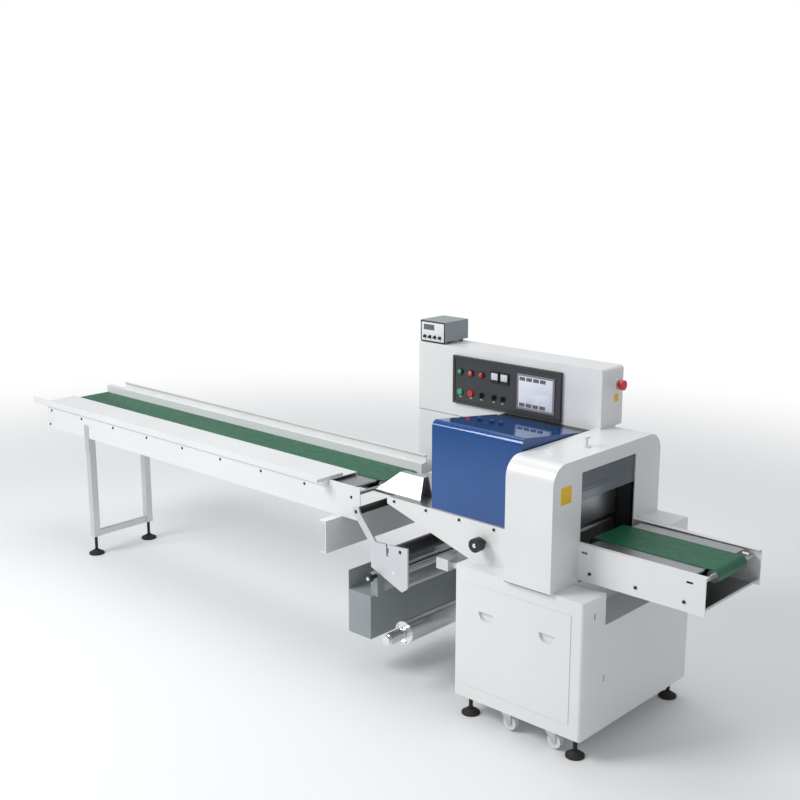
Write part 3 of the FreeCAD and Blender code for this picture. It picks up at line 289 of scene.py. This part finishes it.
# Finishes on the CAD pieces

WHITE_NODES = ["base_cabinet", "base_panels", "rear_drive_cover", "rear_frame", "control_cabinet",
               "stop_switch_base", "front_side_plate", "seal_drive_unit", "seal_arch", "pressure_post",
               "outfeed_sides", "infeed_front_side", "infeed_back_side", "infeed_guard", "infeed_top_rail",
               "infeed_support", "film_back_plate"]
paint(WHITE, *WHITE_NODES)
paint(STEEL, "forming_table", "film_former", "outfeed_bed", "infeed_bed", "conveyor_rollers", "upper_jaw",
      "lower_jaw", "caster_fork_1", "caster_fork_2", "caster_fork_3", "caster_fork_4")
paint(ALUMINIUM, "film_front_plate", "web_guide_block", "leg_stand")
paint(CHROME, "film_shaft", "web_roller_2")
paint(BLACK_STEEL, "jaw_frame", "cover_hinge_bar", "web_roller_1")
paint(BLACK_PLASTIC, "display_modules", "selector_knob_1", "selector_knob_2", "selector_knob_3", "handwheel",
      "lock_knob")
paint(FASCIA, "control_fascia")
paint(SCREEN_EDGE, "touch_screen")
paint(GREY, "film_motor_box", "controller_box")
paint(RUBBER, "levelling_feet", "web_roller_3")
paint(TREAD, "caster_wheel_1", "caster_wheel_2", "caster_wheel_3", "caster_wheel_4")
paint(FRAME_BLACK, "pilot_lamps")
paint(RED, "push_button_2", "stop_button")
paint(GREEN, "push_button_1")
paint(BELT, "outfeed_belt", "infeed_belt")
paint(BLUE, "safety_cover")
paint(CLEAR, "seal_window")

soften(["base_cabinet", "control_cabinet", "rear_frame"], 0.004, 3)
soften(["seal_arch"], 0.0012)
soften(["base_panels", "rear_drive_cover", "front_side_plate", "stop_switch_base"], 0.0012)
soften(["infeed_top_rail", "leg_stand", "film_front_plate", "film_motor_box", "web_guide_block"], 0.001)
soften(["safety_cover"], 0.0012)


# Detail pieces

PROUD = 0.6 * MM
BORDER = 6 * MM
SEAM = 1.2 * MM
KEY_PITCH = 34 * MM
KEY_WIDTH = 28 * MM
INFEED_BOLTS = 9
INFEED_BOLT_DROP = 46 * MM
SIDE_SCREW_PITCH = 170 * MM
# Middle of each plain label on its face, as (y, z)
LABEL_HOOD = (-0.272, 0.968)
LABEL_STOP = (0.308, 1.196)


def plate(name, body, material, low, high):
    """A thin plate or strip with softly broken edges."""
    def build(work):
        verts = block(work, low, high)
        edges = list({edge for vert in verts for edge in vert.link_edges})
        width = min(high[axis] - low[axis] for axis in range(3)) * 0.3
        bmesh.ops.bevel(work, geom=edges, offset=width, segments=2, affect="EDGES", profile=0.5)
    return piece(name, body, material, build)


def control_panel():
    """Lenses, screen, module faces, border and plain marks on the fascia."""
    low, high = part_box("pilot_lamps")
    radius = (high[2] - low[2]) / 2
    spots = [low[0] + radius, (low[0] + high[0]) / 2, high[0] - radius]
    finishes = [("green", GREEN, "green_plastic"),
                ("orange", ORANGE, "red_plastic"),
                ("red", RED, "red_plastic")]
    for x, (word, material, slot) in zip(spots, finishes):
        piece("lamp_lens_" + word, MACHINE, material,
              lambda work, x=x: turned(work, (x, low[1], low[2] + radius), "-Y",
                                       [(0, -0.001), (radius * 0.78, -0.001), (radius * 0.78, 0.0015),
                                        (radius * 0.6, 0.004), (radius * 0.3, 0.005), (0, 0.0053)]))
    low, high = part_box("touch_screen")
    rim, key = 9 * MM, 15 * MM
    front = low[1]
    plate("screen_face", MACHINE, SCREEN, (low[0] + rim, front - PROUD, low[2] + rim),
          (high[0] - rim, front + PROUD, high[2] - rim))
    for row, z in (("low", low[2] + rim + 3 * MM), ("high", high[2] - rim - 3 * MM - key)):
        for number in range(4):
            x = low[0] + rim + 4 * MM + number * KEY_PITCH
            plate("screen_key_%s_%d" % (row, number + 1), MACHINE, KEY_GREY,
                  (x, front - 2 * PROUD, z), (x + KEY_WIDTH, front, z + key))
    low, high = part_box("display_modules")
    middle = (low[0] + high[0]) / 2
    halves = ((low[0], middle - 3 * MM), (middle + 3 * MM, high[0]))
    for number, (left, right) in enumerate(halves, start=1):
        plate("module_face_%d" % number, MACHINE, PALE,
              (left + 5 * MM, low[1] - PROUD, low[2] + 14 * MM),
              (right - 5 * MM, low[1] + PROUD, high[2] - 6 * MM))
    low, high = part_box("control_fascia")
    sides = {"bottom": (low[0], low[2], high[0], low[2] + BORDER),
             "top": (low[0], high[2] - BORDER, high[0], high[2]),
             "left": (low[0], low[2] + BORDER, low[0] + BORDER, high[2] - BORDER),
             "right": (high[0] - BORDER, low[2] + BORDER, high[0], high[2] - BORDER)}
    inner = low[1] + 3 * MM
    for word, (x0, z0, x1, z1) in sides.items():
        plate("fascia_border_" + word, MACHINE, FRAME_BLACK, (x0, inner - 2 * MM, z0),
              (x1, inner + MM, z1))
    for name in ("push_button_1", "push_button_2", "selector_knob_1", "selector_knob_2", "selector_knob_3"):
        near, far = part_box(name)
        x, z = (near[0] + far[0]) / 2, near[2] - 9 * MM
        plate("mark_under_" + name, MACHINE, PALE,
              (x - 7 * MM, inner - PROUD, z - 1.5 * MM), (x + 7 * MM, inner + PROUD, z + 1.5 * MM))


def controller_face():
    """The small separate controller: pale face in a dark frame, grey display and four knobs."""
    low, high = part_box("controller_box")
    frame_edge = 8 * MM
    plate("controller_frame", MACHINE, FRAME_BLACK,
          (low[0] + 2 * MM, low[1] - MM, low[2] + 2 * MM),
          (high[0] - 2 * MM, low[1] + MM, high[2] - 2 * MM))
    plate("controller_panel", MACHINE, WHITE,
          (low[0] + frame_edge, low[1] - 2 * MM, low[2] + frame_edge),
          (high[0] - frame_edge, low[1], high[2] - frame_edge))
    plate("controller_display", MACHINE, KEY_GREY,
          (low[0] + 20 * MM, low[1] - 3 * MM, high[2] - 40 * MM),
          (low[0] + 80 * MM, low[1] - MM, high[2] - 16 * MM))
    for number in range(4):
        x = low[0] + (28 + number * 28) * MM
        piece("controller_knob_%d" % (number + 1), MACHINE, BLACK_PLASTIC,
              lambda work, x=x: turned(work, (x, low[1] - MM, low[2] + 26 * MM), "-Y",
                                       [(0, 0), (0.008, 0), (0.008, 0.002), (0.006, 0.003), (0.0055, 0.011),
                                        (0.0045, 0.012), (0, 0.012)], 24))


def screws():
    """Socket screws and bolts in rows along the plates."""
    low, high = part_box("front_side_plate")
    for number in range(4):
        x = low[0] + 40 * MM + number * SIDE_SCREW_PITCH
        piece("side_plate_screw_%d" % (number + 1), MACHINE, BLACK_STEEL,
              lambda work, x=x: cap_screw(work, (x, low[1], high[2] - 12 * MM), "-Y", 0.0055, 0.005))
    low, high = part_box("infeed_front_side")
    for number in range(INFEED_BOLTS):
        x = low[0] + 40 * MM + number * (high[0] - low[0] - 90 * MM) / (INFEED_BOLTS - 1)
        piece("infeed_bolt_%d" % (number + 1), MACHINE, BLACK_STEEL,
              lambda work, x=x: dome_screw(work, (x, low[1], high[2] - INFEED_BOLT_DROP), "-Y",
                                           0.0065, 0.004))
    piece("infeed_bolt_corner", MACHINE, BLACK_STEEL,
          lambda work: dome_screw(work, (low[0] + 18 * MM, low[1], low[2] + 16 * MM), "-Y", 0.0065, 0.004))
    low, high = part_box("outfeed_sides")
    for number, along in enumerate((60, 250, 440), start=1):
        piece("outfeed_screw_%d" % number, MACHINE, BLACK_STEEL,
              lambda work, along=along: cap_screw(
                  work, (low[0] + along * MM, low[1], low[2] + 34 * MM), "-Y", 0.006, 0.005))
    for name in ("handwheel", "lock_knob"):
        near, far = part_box(name)
        piece(name + "_centre", name + "_body", CHROME,
              lambda work, near=near, far=far: dome_screw(
                  work, ((near[0] + far[0]) / 2, near[1], (near[2] + far[2]) / 2), "-Y", 0.009, 0.003))


def seams_and_labels():
    """Dark strips of painted shade along the panel joints, and the two plain yellow labels, left bare."""
    low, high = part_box("control_cabinet")
    # Painted shade: near-black strips in the joints under the control cabinet front and under the hood.
    plate("cabinet_seam_shade_front", MACHINE, GAP_SHADE,
          (low[0] + 4 * MM, low[1] - 0.2 * MM, low[2] - SEAM),
          (high[0] - 31 * MM, low[1] + SEAM, low[2] + SEAM))
    hood_low, hood_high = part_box("seal_arch")
    plate("hood_foot_seam_shade", MACHINE, GAP_SHADE,
          (hood_low[0] + MM, hood_low[1] - 0.2 * MM, hood_low[2]),
          (hood_high[0] - MM, hood_low[1] + SEAM, hood_low[2] + 2 * SEAM))
    y, z = LABEL_HOOD
    plate("yellow_label_hood", MACHINE, YELLOW,
          (hood_high[0] - PROUD, y - 32 * MM, z - 32 * MM),
          (hood_high[0] + PROUD, y + 32 * MM, z + 32 * MM))
    y, z = LABEL_STOP
    plate("yellow_label_stop", MACHINE, YELLOW,
          (high[0] - PROUD, y - 14 * MM, z - 16 * MM),
          (high[0] + PROUD, y + 14 * MM, z + 16 * MM))
    near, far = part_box("safety_cover")
    plate("cover_latch", "safety_cover_body", BLACK_PLASTIC,
          (far[0] - 34 * MM, near[1] - 5 * MM, near[2] + 200 * MM),
          (far[0] - 10 * MM, near[1] + MM, near[2] + 240 * MM))


control_panel()
controller_face()
screws()
seams_and_labels()


# Stage, camera and lights

def stage_floor():
    """A pale floor that fades out to the white background."""
    mesh = bpy.data.meshes.new("studio_floor")
    work = bmesh.new()
    bmesh.ops.create_circle(work, cap_ends=True, segments=96, radius=14)
    bmesh.ops.translate(work, vec=(0.4, -0.2, -0.0005), verts=work.verts)
    work.to_mesh(mesh)
    work.free()
    floor = bpy.data.objects.new("studio_floor", mesh)
    bpy.context.scene.collection.objects.link(floor)
    material, tree, bsdf = shader("studio_floor")
    bsdf.inputs["Base Color"].default_value = (0.86, 0.86, 0.86, 1)
    bsdf.inputs["Roughness"].default_value = 0.55
    bsdf.inputs["Specular IOR Level"].default_value = 0.25
    place = tree.nodes.new("ShaderNodeTexCoord")
    length = tree.nodes.new("ShaderNodeVectorMath")
    length.operation = "LENGTH"
    fade = tree.nodes.new("ShaderNodeMapRange")
    fade.interpolation_type = "SMOOTHSTEP"
    fade.inputs["From Min"].default_value = 2.6
    fade.inputs["From Max"].default_value = 6.0
    clear = tree.nodes.new("ShaderNodeBsdfTransparent")
    blend = tree.nodes.new("ShaderNodeMixShader")
    tree.links.new(place.outputs["Object"], length.inputs[0])
    tree.links.new(length.outputs["Value"], fade.inputs["Value"])
    tree.links.new(fade.outputs["Result"], blend.inputs["Fac"])
    tree.links.new(bsdf.outputs["BSDF"], blend.inputs[1])
    tree.links.new(clear.outputs["BSDF"], blend.inputs[2])
    tree.links.new(blend.outputs["Shader"], tree.nodes["Material Output"].inputs["Surface"])
    mesh.materials.append(material)


def studio_world():
    """White behind the object, and a softer grey-white sky for its light."""
    world = bpy.data.worlds.new("studio")
    bpy.context.scene.world = world
    world.use_nodes = True
    tree = world.node_tree
    sky = tree.nodes["Background"]
    sky.inputs["Color"].default_value = (0.93, 0.96, 1.0, 1)
    sky.inputs["Strength"].default_value = 0.55
    white = tree.nodes.new("ShaderNodeBackground")
    white.inputs["Color"].default_value = (1, 1, 1, 1)
    white.inputs["Strength"].default_value = 1.0
    path = tree.nodes.new("ShaderNodeLightPath")
    blend = tree.nodes.new("ShaderNodeMixShader")
    tree.links.new(path.outputs["Is Camera Ray"], blend.inputs["Fac"])
    tree.links.new(sky.outputs["Background"], blend.inputs[1])
    tree.links.new(white.outputs["Background"], blend.inputs[2])
    tree.links.new(blend.outputs["Shader"], tree.nodes["World Output"].inputs["Surface"])


def lamp(name, spot, aim, size, power, colour=(1, 1, 1)):
    data = bpy.data.lights.new(name, "AREA")
    data.shape = "SQUARE"
    data.size = size
    data.energy = power
    data.color = colour
    obj = bpy.data.objects.new(name, data)
    obj.location = spot
    obj.rotation_euler = (Vector(aim) - Vector(spot)).to_track_quat("-Z", "Y").to_euler()
    bpy.context.scene.collection.objects.link(obj)


def studio_camera():
    data = bpy.data.cameras.new("studio_camera")
    data.sensor_width = 36
    data.lens = 54.8
    camera = bpy.data.objects.new("studio_camera", data)
    camera.location = (3.848, -3.673, 2.254)
    camera.rotation_euler = (math.radians(77.05), 0, math.radians(42.80))
    bpy.context.scene.collection.objects.link(camera)
    bpy.context.scene.camera = camera


bpy.context.scene.view_settings.view_transform = "Standard"
stage_floor()
studio_world()
lamp("key", (-1.8, -4.2, 4.6), (0.7, 0, 0.5), 2.6, 225)
lamp("top", (0.2, 0.6, 5.0), (0.4, 0, 0.5), 3.5, 62)
studio_camera()
